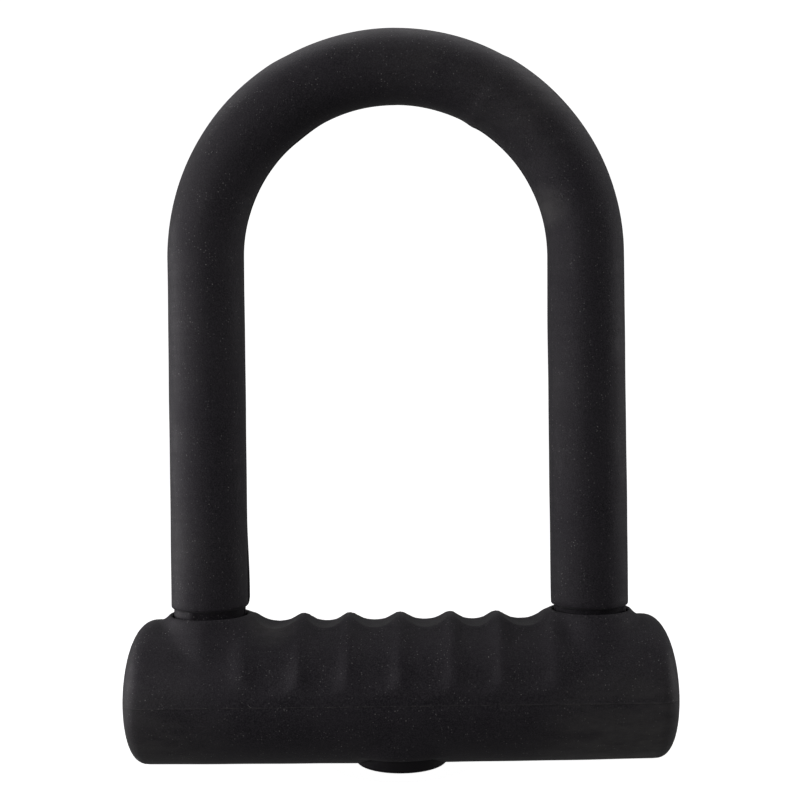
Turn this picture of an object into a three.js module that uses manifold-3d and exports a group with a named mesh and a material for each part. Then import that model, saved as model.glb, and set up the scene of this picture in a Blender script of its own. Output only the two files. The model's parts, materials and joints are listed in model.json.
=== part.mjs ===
// A mini U-lock: a steel shackle in a silicone sleeve, and a crossbar that holds a disc-detainer
// cylinder and two deadbolts. Millimetres, +Z up. The shackle stands up from the crossbar, which
// runs along X. Every piece is made around the crossbar's own axis, and the whole lock is then
// lifted until the key boss, its lowest face, is at Z = 0. The bolts are drawn back.

import * as THREE from "three";
import { mergeVertices } from "three/addons/utils/BufferGeometryUtils.js";
import Module from "manifold-3d";

const wasm = await Module();
wasm.setup();

// Shackle and its sleeve
const LEG_X = 52;                // half the distance between the legs' centre lines
const BEND_Z = 118.5;            // centre of the half-round bend, above the crossbar's axis
const BAR_RADIUS = 7;
const LEG_TIP_Z = -11;
const TIP_CHAMFER = 2;
const SLEEVE_RADIUS = 10.4;
const SLEEVE_END_Z = 22.8;
const SPIGOT_RADIUS = 9.9;
const SPIGOT_END_Z = 20.4;
const BEND_STEPS = 24;

// Crossbar
const COVER_RADIUS = 19.5;
const COVER_HALF_LENGTH = 75;
const COVER_END_DEPTH = 10;      // length over which each end rounds off
const COVER_END_POWER = 2.6;     // 2 would be an ellipse, more is squarer
const TUBE_RADIUS = 15.7;
const TUBE_WALL = 2.4;
const TUBE_HALF_LENGTH = 68.8;
const CASTING_RADIUS = 13;       // of every block that slides into the tube
const COLLAR_TOP_Z = 21.4;
const COLLAR_RADIUS = 10.9;
const COLLAR_FOOT_RADIUS = 15;
const COLLAR_FOOT_Z = 15;
const COLLAR_BORE_RADIUS = 10.3;

// Finger grooves across the top of the cover, with a crest between each two. Both sides of the
// middle are alike, and the last crests run into the collars' feet.
const CREST_PLACES = [0, 13.9, 26.5, 40];
const CREST_TOP_Z = 20.6;
const GROOVE_FLOOR_Z = 17;
const GROOVE_POWER = 2.3;        // 2 would be a parabola, more has a flatter floor

// Key boss, shutter and lock cylinder, which stand on the Z axis
const BOSS_FACE_Z = -19.7;
const BOSS_RADIUS = 12.6;
const BOSS_EDGE = 1;
const BOSS_TOP_Z = -9;
const FACE_PLATE = 1.3;
const SHUTTER_THICKNESS = 1.2;
const SHUTTER_HALF_WIDTH = 4.2;
const SHUTTER_HALF_LENGTH = 3.2;
const SHUTTER_TRAVEL = 6;
const GRIP_SPAN = [1.8, 3];
const GRIP_HALF_WIDTH = 1.8;
const WINDOW_SPAN = [-2.6, 9.4];
const WINDOW_HALF_WIDTH = 2.5;
const BARREL_RADIUS = 9.5;
const BARREL_BORE_RADIUS = 7.3;
const BARREL_FRONT_Z = -16.6;
const BARREL_BACK_Z = 2.9;
const BARREL_MOUTH_RADIUS = 4.2;
const BARREL_LIP = 1.6;
const PLUG_RADIUS = 7;
const PLUG_BORE_RADIUS = 5.8;
const PLUG_FRONT_Z = -14.7;
const PLUG_BACK_Z = 2.7;
const DISC_RADIUS = 5.5;
const DISC_THICKNESS = 1.5;
const SPACER_THICKNESS = 0.4;
const DISC_PITCH = 2.2;
const FIRST_DISC_Z = -12.2;
const DISC_SLOT_TURNS = [0, 30, -15, 45, 15, -30];   // degrees: how the key's cuts set each disc
const GATE_HALF_WIDTH = 1;
const GATE_FLOOR = 3.9;
const KEYWAY_RADIUS = 2.6;
const SIDEBAR_BOTTOM_Z = -12.1;
const SIDEBAR_TOP_Z = 0.2;
const CYLINDER_PIN_X = 10.2;
const CYLINDER_PIN_Z = -8;
const CYLINDER_PIN_HALF_LENGTH = 8.6;

// Scroll cam and deadbolts
const CAM_RADIUS = 9.5;
const CAM_BOTTOM_Z = 3.3;
const CAM_TOP_Z = 6.3;
const SCROLL_INNER_RADIUS = 3;
const SCROLL_HALF_WIDTH = 1.5;
const SCROLL_FLOOR_Z = 4.3;
const KEY_TURN = Math.PI / 2;
const BOLT_TRAVEL = 4;
const BOLT_HEEL_X = 0.7;
const BOLT_TIP_X = 44.6;
const BOLT_HALF_WIDTH = 4;
const BOLT_BOTTOM_Z = 6.7;
const BOLT_TOP_Z = 11.2;
const BOLT_PIN_RADIUS = 1.2;
const NOTCH_DEPTH = 4.2;

// Blocks in the tube, and the pins that hold them
const BODY_HALF_LENGTH = 34;
const GUIDE_START_X = 34.4;
const GUIDE_END_X = 63.4;
const END_PLUG_START_X = 63.8;
const END_PIN_X = 66.3;
const PIN_RADIUS = 1.5;
const GAP = 0.3;                 // clearance between a piece and the one that it sits in

const SIDES = 28;
const FINE_SIDES = 36;
const SMALL_SIDES = 12;
const BAR_SIDES = 18;
const RING_SIDES = 20;

// ---------------------------------------------------------------- solids

function solid(geometry) {
  const plain = geometry.clone();
  plain.deleteAttribute("normal");
  plain.deleteAttribute("uv");
  const merged = mergeVertices(plain, 1e-4);
  return new wasm.Manifold(new wasm.Mesh({
    numProp: 3,
    vertProperties: merged.attributes.position.array,
    triVerts: Uint32Array.from(merged.index.array),
  }));
}

function join(...solids) {
  return solids.reduce((sum, next) => sum.add(next));
}

function cut(body, ...tools) {
  return tools.reduce((rest, tool) => rest.subtract(tool), body);
}

function post(radius, bottom, top, x = 0, sides = SIDES, topRadius = radius) {
  const geometry = new THREE.CylinderGeometry(topRadius, radius, top - bottom, sides);
  return solid(geometry.rotateX(Math.PI / 2).translate(x, 0, (bottom + top) / 2));
}

function rodAlongX(radius, start, end, sides = SIDES) {
  const geometry = new THREE.CylinderGeometry(radius, radius, end - start, sides);
  return solid(geometry.rotateZ(-Math.PI / 2).translate((start + end) / 2, 0, 0));
}

function rodAlongY(radius, halfLength, x, z) {
  const geometry = new THREE.CylinderGeometry(radius, radius, 2 * halfLength, SMALL_SIDES);
  return solid(geometry.translate(x, 0, z));
}

function block([x0, x1], [y0, y1], [z0, z1]) {
  const geometry = new THREE.BoxGeometry(x1 - x0, y1 - y0, z1 - z0);
  return solid(geometry.translate((x0 + x1) / 2, (y0 + y1) / 2, (z0 + z1) / 2));
}

function ring(innerRadius, outerRadius, bottom, top, x = 0, sides = SIDES) {
  return cut(post(outerRadius, bottom, top, x, sides), post(innerRadius, bottom - 1, top + 1, x, sides));
}

function slab(shape, bottom, top) {
  const options = { depth: top - bottom, bevelEnabled: false, curveSegments: SMALL_SIDES };
  const geometry = new THREE.ExtrudeGeometry(shape, options);
  return solid(geometry.translate(0, 0, bottom));
}

// Turns a profile of [radius, distance along the axis] about X. It starts and ends on the axis.
function turnedAboutX(profile, sides) {
  const points = profile.map(([radius, along]) => new THREE.Vector2(radius, along));
  return solid(new THREE.LatheGeometry(points, sides).rotateZ(-Math.PI / 2));
}

// Turns a closed profile of [radius, height] about an upright axis at the given x.
function turnedAboutZ(profile, x, sides) {
  const points = profile.map(([radius, height]) => new THREE.Vector2(radius, height));
  return solid(new THREE.LatheGeometry(points, sides).rotateX(Math.PI / 2).translate(x, 0, 0));
}

function pairOf(makeSide) {
  return [["left", -1], ["right", 1]].map(([side, sign]) => [side, makeSide(sign)]);
}

function span(sign, near, far) {
  return sign > 0 ? [near, far] : [-far, -near];
}

// ---------------------------------------------------------------- shackle

// The centre line of the shackle: up the left leg, round the bend and down the right leg. Each leg
// is one step of the sweep, and the bend has the rest.
class ShackleLine extends THREE.Curve {
  constructor(endZ) {
    super();
    this.endZ = endZ;
    this.steps = BEND_STEPS + 2;
  }

  getPoint(t) {
    const step = t * this.steps;
    if (step <= 1) {
      return new THREE.Vector3(-LEG_X, 0, THREE.MathUtils.lerp(this.endZ, BEND_Z, step));
    }
    if (step >= BEND_STEPS + 1) {
      const down = step - BEND_STEPS - 1;
      return new THREE.Vector3(LEG_X, 0, THREE.MathUtils.lerp(BEND_Z, this.endZ, down));
    }
    const angle = Math.PI * (1 - (step - 1) / BEND_STEPS);
    return new THREE.Vector3(LEG_X * Math.cos(angle), 0, BEND_Z + LEG_X * Math.sin(angle));
  }

  getTangent(t) {
    const turned = THREE.MathUtils.clamp((t * this.steps - 1) / BEND_STEPS, 0, 1);
    return new THREE.Vector3(Math.sin(Math.PI * turned), 0, Math.cos(Math.PI * turned));
  }

  // The curve's own steps are the sweep's steps, so no even spacing is worked out.
  getUtoTmapping(u) {
    return u;
  }
}

function sweptAlongShackle(shape, endZ) {
  const line = new ShackleLine(endZ);
  const options = { extrudePath: line, steps: line.steps, curveSegments: BAR_SIDES / 2 };
  return solid(new THREE.ExtrudeGeometry(shape, options));
}

function circle(radius) {
  return new THREE.Shape().absarc(0, 0, radius, 0, 2 * Math.PI);
}

function tipChamfer(x) {
  const wide = BAR_RADIUS + 1;
  const profile = [
    [wide, LEG_TIP_Z - 1],
    [wide, LEG_TIP_Z + TIP_CHAMFER + 1],
    [BAR_RADIUS - TIP_CHAMFER - 1, LEG_TIP_Z - 1],
    [wide, LEG_TIP_Z - 1],
  ];
  return turnedAboutZ(profile, x, SIDES);
}

// Each leg has a notch on its inner side, which a deadbolt enters.
function shackle() {
  const notches = pairOf((sign) => {
    const reach = span(sign, LEG_X - BAR_RADIUS - 1, LEG_X - BAR_RADIUS + NOTCH_DEPTH);
    return block(reach, [-BAR_RADIUS - 1, BAR_RADIUS + 1], [BOLT_BOTTOM_Z - 0.5, BOLT_TOP_Z + 0.5]);
  });
  const chamfers = pairOf((sign) => tipChamfer(sign * LEG_X));
  const cutters = [...notches, ...chamfers].map(([, tool]) => tool);
  return cut(sweptAlongShackle(circle(BAR_RADIUS), LEG_TIP_Z), ...cutters);
}

// The sleeve covers the bar down to the crossbar, where each end has a narrower spigot.
function shackleSleeve() {
  const bore = BAR_RADIUS + GAP;
  const section = circle(SLEEVE_RADIUS);
  section.holes.push(circle(bore));
  const spigots = pairOf((sign) => {
    return ring(bore, SPIGOT_RADIUS, SPIGOT_END_Z, SLEEVE_END_Z + 1, sign * LEG_X, RING_SIDES);
  });
  return join(sweptAlongShackle(section, SLEEVE_END_Z), ...spigots.map(([, ends]) => ends));
}

// ---------------------------------------------------------------- crossbar

function coverEnd(sign) {
  const steps = 6;
  const points = [];
  for (let i = 0; i <= steps; i += 1) {
    const angle = (i / steps) * (Math.PI / 2);
    const along = COVER_HALF_LENGTH - COVER_END_DEPTH * (1 - Math.cos(angle) ** (2 / COVER_END_POWER));
    points.push([COVER_RADIUS * Math.sin(angle) ** (2 / COVER_END_POWER), sign * along]);
  }
  return sign > 0 ? points.reverse() : points;
}

// The finger grip is a roll set a little higher than the cover, so that it stands out on top and
// sinks into the cover's sides.
function fingerGrip() {
  const halfLength = CREST_PLACES.at(-1) + 1;
  const roll = rodAlongX(COVER_RADIUS, -halfLength, halfLength, FINE_SIDES);
  return roll.translate([0, 0, CREST_TOP_Z - COVER_RADIUS]);
}

// What one finger groove takes away: straight across the cover, and hollow from crest to crest.
function fingerGroove(start, end) {
  const steps = 10;
  const high = CREST_TOP_Z + 2;
  const points = [new THREE.Vector2(end, high), new THREE.Vector2(start, high)];
  for (let i = 0; i <= steps; i += 1) {
    const fromMiddle = Math.abs((2 * i) / steps - 1);
    const rise = (CREST_TOP_Z - GROOVE_FLOOR_Z) * fromMiddle ** GROOVE_POWER;
    points.push(new THREE.Vector2(THREE.MathUtils.lerp(start, end, i / steps), GROOVE_FLOOR_Z + rise));
  }
  const options = { depth: 2 * COVER_RADIUS, bevelEnabled: false };
  const geometry = new THREE.ExtrudeGeometry(new THREE.Shape(points), options);
  return solid(geometry.rotateX(Math.PI / 2).translate(0, COVER_RADIUS, 0));
}

function collar(sign) {
  const x = sign * LEG_X;
  return post(COLLAR_FOOT_RADIUS, COLLAR_FOOT_Z, COLLAR_TOP_Z, x, SIDES, COLLAR_RADIUS);
}

// The cover is hollow for the tube, with a collar for each leg on top and a round hole for the
// key boss underneath.
function crossbarCover() {
  const barrel = join(turnedAboutX([...coverEnd(-1), ...coverEnd(1)], FINE_SIDES), fingerGrip());
  const grooves = CREST_PLACES.slice(1).flatMap((place, index) => {
    const before = CREST_PLACES[index];
    return [fingerGroove(before, place), fingerGroove(-place, -before)];
  });
  const legBores = [-1, 1].map((sign) => post(COLLAR_BORE_RADIUS, 8, COLLAR_TOP_Z + 1, sign * LEG_X));
  const cavityEnd = TUBE_HALF_LENGTH + GAP;
  const hollow = rodAlongX(TUBE_RADIUS + GAP, -cavityEnd, cavityEnd, FINE_SIDES);
  const bossHole = post(BOSS_RADIUS + GAP, -COVER_RADIUS - 2, -8);
  const body = join(cut(barrel, ...grooves), collar(-1), collar(1));
  return cut(body, hollow, bossHole, ...legBores);
}

function crossbarTube() {
  const outer = rodAlongX(TUBE_RADIUS, -TUBE_HALF_LENGTH, TUBE_HALF_LENGTH, FINE_SIDES);
  const beyond = TUBE_HALF_LENGTH + 1;
  const inner = rodAlongX(TUBE_RADIUS - TUBE_WALL, -beyond, beyond, FINE_SIDES);
  const cylinderHole = post(BARREL_RADIUS + 0.4, -TUBE_RADIUS - 1, -5);
  const legHoles = pairOf((sign) => post(BAR_RADIUS + 0.5, 5, TUBE_RADIUS + 1, sign * LEG_X));
  const pinHoles = pairOf((sign) => endPinHole(sign));
  const holes = [...legHoles, ...pinHoles].map(([, hole]) => hole);
  return cut(outer, inner, cylinderHole, ...holes);
}

function endPinHole(sign) {
  return post(PIN_RADIUS + GAP, -TUBE_RADIUS - 1, TUBE_RADIUS + 1, sign * END_PIN_X, SMALL_SIDES);
}

function endPlug(sign) {
  const [start, end] = span(sign, END_PLUG_START_X, TUBE_HALF_LENGTH);
  return cut(rodAlongX(CASTING_RADIUS, start, end), endPinHole(sign));
}

function endPlugPin(sign) {
  return post(PIN_RADIUS, -TUBE_RADIUS + 0.4, TUBE_RADIUS - 0.4, sign * END_PIN_X, SMALL_SIDES);
}

function boltChannel(reach) {
  const width = BOLT_HALF_WIDTH + GAP;
  return block(reach, [-width, width], [BOLT_BOTTOM_Z - GAP, CASTING_RADIUS + 1]);
}

// Each leg guide lines up a leg and lets the bolt through to it.
function legGuide(sign) {
  const [start, end] = span(sign, GUIDE_START_X, GUIDE_END_X);
  const bore = post(BAR_RADIUS + 0.4, -CASTING_RADIUS - 1, CASTING_RADIUS + 1, sign * LEG_X);
  const channel = boltChannel(span(sign, GUIDE_START_X - 1, LEG_X - BAR_RADIUS + 1));
  return cut(rodAlongX(CASTING_RADIUS, start, end), bore, channel);
}

function legSeal(sign) {
  const bottom = TUBE_RADIUS + 0.4;
  const top = SPIGOT_END_Z - 0.8;
  return ring(BAR_RADIUS + 0.35, COLLAR_BORE_RADIUS - 0.4, bottom, top, sign * LEG_X, RING_SIDES);
}

function lockBody() {
  const bore = post(BARREL_RADIUS + GAP, -CASTING_RADIUS - 1, CAM_TOP_Z + GAP);
  const channel = boltChannel([-BODY_HALF_LENGTH - 1, BODY_HALF_LENGTH + 1]);
  const pinHoles = pairOf((sign) => cylinderPinHole(sign));
  const body = rodAlongX(CASTING_RADIUS, -BODY_HALF_LENGTH, BODY_HALF_LENGTH);
  return cut(body, bore, channel, ...pinHoles.map(([, hole]) => hole));
}

// ---------------------------------------------------------------- key boss

// The boss sits on the tube like a saddle. Its face has a window for the key and for the shutter's
// grip, and the shutter runs in a pocket behind it.
function keyBoss() {
  const edge = BOSS_FACE_Z + BOSS_EDGE;
  const inset = BOSS_EDGE * (1 - Math.SQRT1_2);
  const profile = [
    [0, BOSS_FACE_Z],
    [BOSS_RADIUS - BOSS_EDGE, BOSS_FACE_Z],
    [BOSS_RADIUS - inset, BOSS_FACE_Z + inset],
    [BOSS_RADIUS, edge],
    [BOSS_RADIUS, BOSS_TOP_Z],
    [0, BOSS_TOP_Z],
  ];
  const blank = turnedAboutZ(profile, 0, FINE_SIDES);
  const saddle = rodAlongX(TUBE_RADIUS + GAP, -BOSS_RADIUS - 1, BOSS_RADIUS + 1, FINE_SIDES);
  const bore = post(BARREL_RADIUS + GAP, BARREL_FRONT_Z - GAP, 0);
  const pocketBack = BOSS_FACE_Z + FACE_PLATE;
  const reach = SHUTTER_HALF_LENGTH + 0.4;
  const width = SHUTTER_HALF_WIDTH + 0.4;
  const pocket = block([-reach, reach + SHUTTER_TRAVEL], [-width, width], [pocketBack, BARREL_FRONT_Z]);
  const opening = [-WINDOW_HALF_WIDTH, WINDOW_HALF_WIDTH];
  const window = block(WINDOW_SPAN, opening, [BOSS_FACE_Z - 1, pocketBack + 1]);
  return cut(blank, saddle, bore, pocket, window);
}

function dustShutter() {
  const back = BARREL_FRONT_Z - GAP;
  const front = back - SHUTTER_THICKNESS;
  const length = [-SHUTTER_HALF_LENGTH, SHUTTER_HALF_LENGTH];
  const plate = block(length, [-SHUTTER_HALF_WIDTH, SHUTTER_HALF_WIDTH], [front, back]);
  const gripWidth = [-GRIP_HALF_WIDTH, GRIP_HALF_WIDTH];
  const grip = block(GRIP_SPAN, gripWidth, [BOSS_FACE_Z + 0.4, front + 0.3]);
  return join(plate, grip);
}

// ---------------------------------------------------------------- lock cylinder

function cylinderPinHole(sign) {
  return rodAlongY(PIN_RADIUS + GAP, 14, sign * CYLINDER_PIN_X, CYLINDER_PIN_Z);
}

function cylinderPin(sign) {
  return rodAlongY(PIN_RADIUS, CYLINDER_PIN_HALF_LENGTH, sign * CYLINDER_PIN_X, CYLINDER_PIN_Z);
}

// The barrel has one groove for the sidebar at each end of the key's turn.
function cylinderBarrel() {
  const front = post(BARREL_MOUTH_RADIUS, BARREL_FRONT_Z - 1, 0);
  const bore = post(BARREL_BORE_RADIUS, BARREL_FRONT_Z + BARREL_LIP, BARREL_BACK_Z + 1);
  const height = [SIDEBAR_BOTTOM_Z - 0.5, SIDEBAR_TOP_Z + 0.5];
  const width = GATE_HALF_WIDTH + 0.1;
  const depth = PLUG_RADIUS + 1.3;
  const groove = block([-width, width], [0, depth], height);
  const turnedGroove = block([-depth, 0], [-width, width], height);
  const pinHoles = pairOf((sign) => cylinderPinHole(sign));
  const blank = post(BARREL_RADIUS, BARREL_FRONT_Z, BARREL_BACK_Z, 0, FINE_SIDES);
  return cut(blank, front, bore, groove, turnedGroove, ...pinHoles.map(([, hole]) => hole));
}

function cylinderPlug() {
  const wall = 1;
  const bore = post(PLUG_BORE_RADIUS, PLUG_FRONT_Z + wall, PLUG_BACK_Z + 1);
  const keyHole = post(3, PLUG_FRONT_Z - 1, 0);
  const width = [-GATE_HALF_WIDTH, GATE_HALF_WIDTH];
  const sidebarSlot = block(width, [0, PLUG_RADIUS + 1], [SIDEBAR_BOTTOM_Z - 0.2, SIDEBAR_TOP_Z + 0.2]);
  const driveSlot = block([-PLUG_RADIUS - 1, PLUG_RADIUS + 1], [-1.8, 1.8], [1.1, PLUG_BACK_Z + 1]);
  return cut(post(PLUG_RADIUS, PLUG_FRONT_Z, PLUG_BACK_Z), bore, keyHole, sidebarSlot, driveSlot);
}

// A round outline with the sidebar's gate cut into it at +Y.
function gatedOutline(radius) {
  const half = Math.asin(GATE_HALF_WIDTH / radius);
  const shape = new THREE.Shape();
  shape.absarc(0, 0, radius, Math.PI / 2 + half, 2.5 * Math.PI - half);
  shape.lineTo(GATE_HALF_WIDTH, GATE_FLOOR);
  shape.lineTo(-GATE_HALF_WIDTH, GATE_FLOOR);
  return shape;
}

// A disc's keyway is a circle with one flat, turned to suit the key's cut at that disc.
function detainerDisc(index) {
  const turn = THREE.MathUtils.degToRad(DISC_SLOT_TURNS[index]);
  const outline = gatedOutline(DISC_RADIUS);
  const keyway = new THREE.Path();
  keyway.absarc(0, 0, KEYWAY_RADIUS, turn - 0.8 * Math.PI, turn + 0.5 * Math.PI);
  outline.holes.push(keyway);
  const bottom = FIRST_DISC_Z + index * DISC_PITCH;
  return slab(outline, bottom, bottom + DISC_THICKNESS);
}

function discSpacer(index) {
  const outline = gatedOutline(DISC_RADIUS);
  outline.holes.push(circle(3.4));
  const bottom = FIRST_DISC_Z + index * DISC_PITCH + DISC_THICKNESS + 0.15;
  return slab(outline, bottom, bottom + SPACER_THICKNESS);
}

function antiDrillDisc() {
  return ring(KEYWAY_RADIUS, DISC_RADIUS, PLUG_FRONT_Z + 1.15, FIRST_DISC_Z - 0.15);
}

// The sidebar lies in the discs' gates, and its outer edge is a wedge.
function sidebar() {
  const half = GATE_HALF_WIDTH - 0.25;
  const shape = new THREE.Shape();
  shape.moveTo(-half, GATE_FLOOR + 0.5);
  shape.lineTo(half, GATE_FLOOR + 0.5);
  shape.lineTo(half, PLUG_RADIUS - 0.8);
  shape.lineTo(half / 2, PLUG_RADIUS - 0.3);
  shape.lineTo(-half / 2, PLUG_RADIUS - 0.3);
  shape.lineTo(-half, PLUG_RADIUS - 0.8);
  return slab(shape, SIDEBAR_BOTTOM_Z, SIDEBAR_TOP_Z);
}

// ---------------------------------------------------------------- cam and bolts

// A slot whose centre line is an Archimedean scroll: a bolt's pin in it moves outwards by the same
// amount for each degree of the key's turn.
function scrollSlot() {
  const steps = 12;
  const endSteps = 6;
  const centre = (turned) => {
    const radius = SCROLL_INNER_RADIUS + BOLT_TRAVEL * turned;
    return new THREE.Vector2(radius, 0).rotateAround(new THREE.Vector2(), -KEY_TURN * turned);
  };
  const heading = (turned) => centre(turned + 0.001).sub(centre(turned - 0.001)).angle();
  const edge = (turned, side) => {
    const offset = new THREE.Vector2(SCROLL_HALF_WIDTH, 0);
    return offset.rotateAround(new THREE.Vector2(), heading(turned) + side).add(centre(turned));
  };
  const quarter = Math.PI / 2;
  const points = [];
  for (let i = 0; i <= steps; i += 1) points.push(edge(i / steps, -quarter));
  for (let i = 1; i < endSteps; i += 1) points.push(edge(1, -quarter + (i / endSteps) * Math.PI));
  for (let i = 0; i <= steps; i += 1) points.push(edge(1 - i / steps, quarter));
  for (let i = 1; i < endSteps; i += 1) points.push(edge(0, quarter + (i / endSteps) * Math.PI));
  return slab(new THREE.Shape(points), SCROLL_FLOOR_Z, CAM_TOP_Z + 1);
}

// The cam's hub closes the plug, and its two wings turn with the slots in the plug's rim.
function scrollCam() {
  const plate = post(CAM_RADIUS, CAM_BOTTOM_Z, CAM_TOP_Z, 0, FINE_SIDES);
  const hub = post(PLUG_BORE_RADIUS - 0.4, 0.5, CAM_BOTTOM_Z + 0.2);
  const wings = block([-6.8, 6.8], [-1.5, 1.5], [1.4, CAM_BOTTOM_Z + 0.2]);
  const slot = scrollSlot();
  return cut(join(plate, hub, wings), slot, slot.rotate([0, 0, 180]));
}

function deadbolt(sign) {
  const width = [-BOLT_HALF_WIDTH, BOLT_HALF_WIDTH];
  const bar = block(span(sign, BOLT_HEEL_X, BOLT_TIP_X), width, [BOLT_BOTTOM_Z, BOLT_TOP_Z]);
  const pinHole = post(BOLT_PIN_RADIUS + 0.2, 0, 9.2, sign * SCROLL_INNER_RADIUS, SMALL_SIDES);
  return cut(bar, pinHole);
}

function boltPin(sign) {
  return post(BOLT_PIN_RADIUS, SCROLL_FLOOR_Z + GAP, 9, sign * SCROLL_INNER_RADIUS, SMALL_SIDES);
}

// ---------------------------------------------------------------- assembly

const silicone = new THREE.MeshStandardMaterial({ color: 0x232225, roughness: 0.62, metalness: 0 });
const bossPlastic = new THREE.MeshStandardMaterial({ color: 0x151516, roughness: 0.45, metalness: 0 });
const hardSteel = new THREE.MeshStandardMaterial({ color: 0x8d8f93, roughness: 0.35, metalness: 1 });
const blackSteel = new THREE.MeshStandardMaterial({ color: 0x3a3b3d, roughness: 0.5, metalness: 1 });
const zinc = new THREE.MeshStandardMaterial({ color: 0xa3a6a8, roughness: 0.55, metalness: 1 });
const nylon = new THREE.MeshStandardMaterial({ color: 0x2b2c2e, roughness: 0.6, metalness: 0 });
const brass = new THREE.MeshStandardMaterial({ color: 0xb5924a, roughness: 0.4, metalness: 1 });
const sealRubber = new THREE.MeshStandardMaterial({ color: 0x1b1b1c, roughness: 0.8, metalness: 0 });

function piece(name, shape, material) {
  const { vertProperties, triVerts } = shape.getMesh();
  const geometry = new THREE.BufferGeometry();
  geometry.setAttribute("position", new THREE.BufferAttribute(vertProperties, 3));
  geometry.setIndex(new THREE.BufferAttribute(triVerts, 1));
  geometry.computeVertexNormals();
  const mesh = new THREE.Mesh(geometry, material);
  mesh.name = name;
  return mesh;
}

function piecePair(name, makeSide, material) {
  return pairOf(makeSide).map(([side, shape]) => piece(`${name}_${side}`, shape, material));
}

function shackleGroup() {
  return new THREE.Group().add(
    piece("shackle", shackle(), hardSteel),
    piece("shackle_sleeve", shackleSleeve(), silicone),
  );
}

function crossbarGroup() {
  return new THREE.Group().add(
    piece("crossbar_cover", crossbarCover(), silicone),
    piece("crossbar_tube", crossbarTube(), blackSteel),
    ...piecePair("end_plug", endPlug, zinc),
    ...piecePair("end_plug_pin", endPlugPin, hardSteel),
    ...piecePair("leg_guide", legGuide, nylon),
    ...piecePair("leg_seal", legSeal, sealRubber),
    piece("lock_body", lockBody(), zinc),
    piece("key_boss", keyBoss(), bossPlastic),
    piece("dust_shutter", dustShutter(), bossPlastic),
  );
}

function cylinderGroup() {
  const group = new THREE.Group().add(
    piece("cylinder_barrel", cylinderBarrel(), hardSteel),
    ...piecePair("cylinder_pin", cylinderPin, hardSteel),
    piece("cylinder_plug", cylinderPlug(), brass),
    piece("anti_drill_disc", antiDrillDisc(), hardSteel),
    piece("sidebar", sidebar(), hardSteel),
  );
  DISC_SLOT_TURNS.forEach((_, index) => {
    group.add(piece(`detainer_disc_${index + 1}`, detainerDisc(index), brass));
  });
  for (let index = 0; index < DISC_SLOT_TURNS.length - 1; index += 1) {
    group.add(piece(`disc_spacer_${index + 1}`, discSpacer(index), hardSteel));
  }
  return group;
}

function boltGroup() {
  return new THREE.Group().add(
    piece("scroll_cam", scrollCam(), hardSteel),
    ...piecePair("deadbolt", deadbolt, hardSteel),
    ...piecePair("bolt_pin", boltPin, hardSteel),
  );
}

const lock = new THREE.Group().add(shackleGroup(), crossbarGroup(), cylinderGroup(), boltGroup());
lock.position.z = -BOSS_FACE_Z;

export default lock;
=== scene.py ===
"""A mini U-lock in black silicone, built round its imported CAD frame."""

import json
import math

import bmesh
import bpy
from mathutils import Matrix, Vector


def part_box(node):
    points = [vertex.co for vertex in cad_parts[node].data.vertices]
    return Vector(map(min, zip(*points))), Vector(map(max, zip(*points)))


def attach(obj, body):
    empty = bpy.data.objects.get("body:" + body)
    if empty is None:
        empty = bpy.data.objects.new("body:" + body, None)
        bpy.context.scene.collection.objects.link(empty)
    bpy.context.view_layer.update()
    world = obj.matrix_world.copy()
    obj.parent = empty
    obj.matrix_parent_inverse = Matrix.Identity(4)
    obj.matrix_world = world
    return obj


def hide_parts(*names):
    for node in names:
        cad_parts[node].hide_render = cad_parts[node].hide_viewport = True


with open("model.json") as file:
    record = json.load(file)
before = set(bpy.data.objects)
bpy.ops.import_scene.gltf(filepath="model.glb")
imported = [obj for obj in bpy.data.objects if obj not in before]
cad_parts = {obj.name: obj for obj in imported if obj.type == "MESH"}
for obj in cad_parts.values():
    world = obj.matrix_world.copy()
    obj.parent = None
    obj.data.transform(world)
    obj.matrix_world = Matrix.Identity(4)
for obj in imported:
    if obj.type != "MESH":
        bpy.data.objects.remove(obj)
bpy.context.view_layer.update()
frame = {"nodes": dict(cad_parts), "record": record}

# ---------------------------------------------------------------- sizes, in millimetres
# The meshes are worked out round the crossbar's own axis and turned into metres at the end.

MM = 0.001


def box_mm(node):
    low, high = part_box(node)
    return Vector(low) / MM, Vector(high) / MM


_, cover_high = box_mm("crossbar_cover")
sleeve_low, sleeve_high = box_mm("shackle_sleeve")
shackle_low, shackle_high = box_mm("shackle")
tube_low, tube_high = box_mm("crossbar_tube")
boss_low, boss_high = box_mm("key_boss")
barrel_low, _ = box_mm("cylinder_barrel")
seal_low, seal_high = box_mm("leg_seal_right")
shutter_low, shutter_high = box_mm("dust_shutter")
bolt_low, bolt_high = box_mm("deadbolt_right")

AXIS_Z = (tube_low.z + tube_high.z) / 2       # the crossbar's axis, above the ground
COVER_RADIUS = cover_high.y
COVER_END = cover_high.x - 0.5                # the photo's ends lie just inside the CAD ones
CAVITY_RADIUS = tube_high.y + 0.3
CAVITY_END = tube_high.x + 0.3
LEG_X = (seal_low.x + seal_high.x) / 2
SLEEVE_RADIUS = sleeve_high.y
BAR_RADIUS = shackle_high.y
BEND_Z = shackle_high.z - AXIS_Z - LEG_X - BAR_RADIUS
LEG_TIP_Z = shackle_low.z - AXIS_Z
SPIGOT_RADIUS = SLEEVE_RADIUS - 0.7
SPIGOT_END_Z = sleeve_low.z - AXIS_Z
SLEEVE_END_Z = SPIGOT_END_Z + 2.4
SLEEVE_BORE = BAR_RADIUS + 0.3
BOSS_RADIUS = boss_high.x
BOSS_FACE_Z = boss_low.z - AXIS_Z

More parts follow.
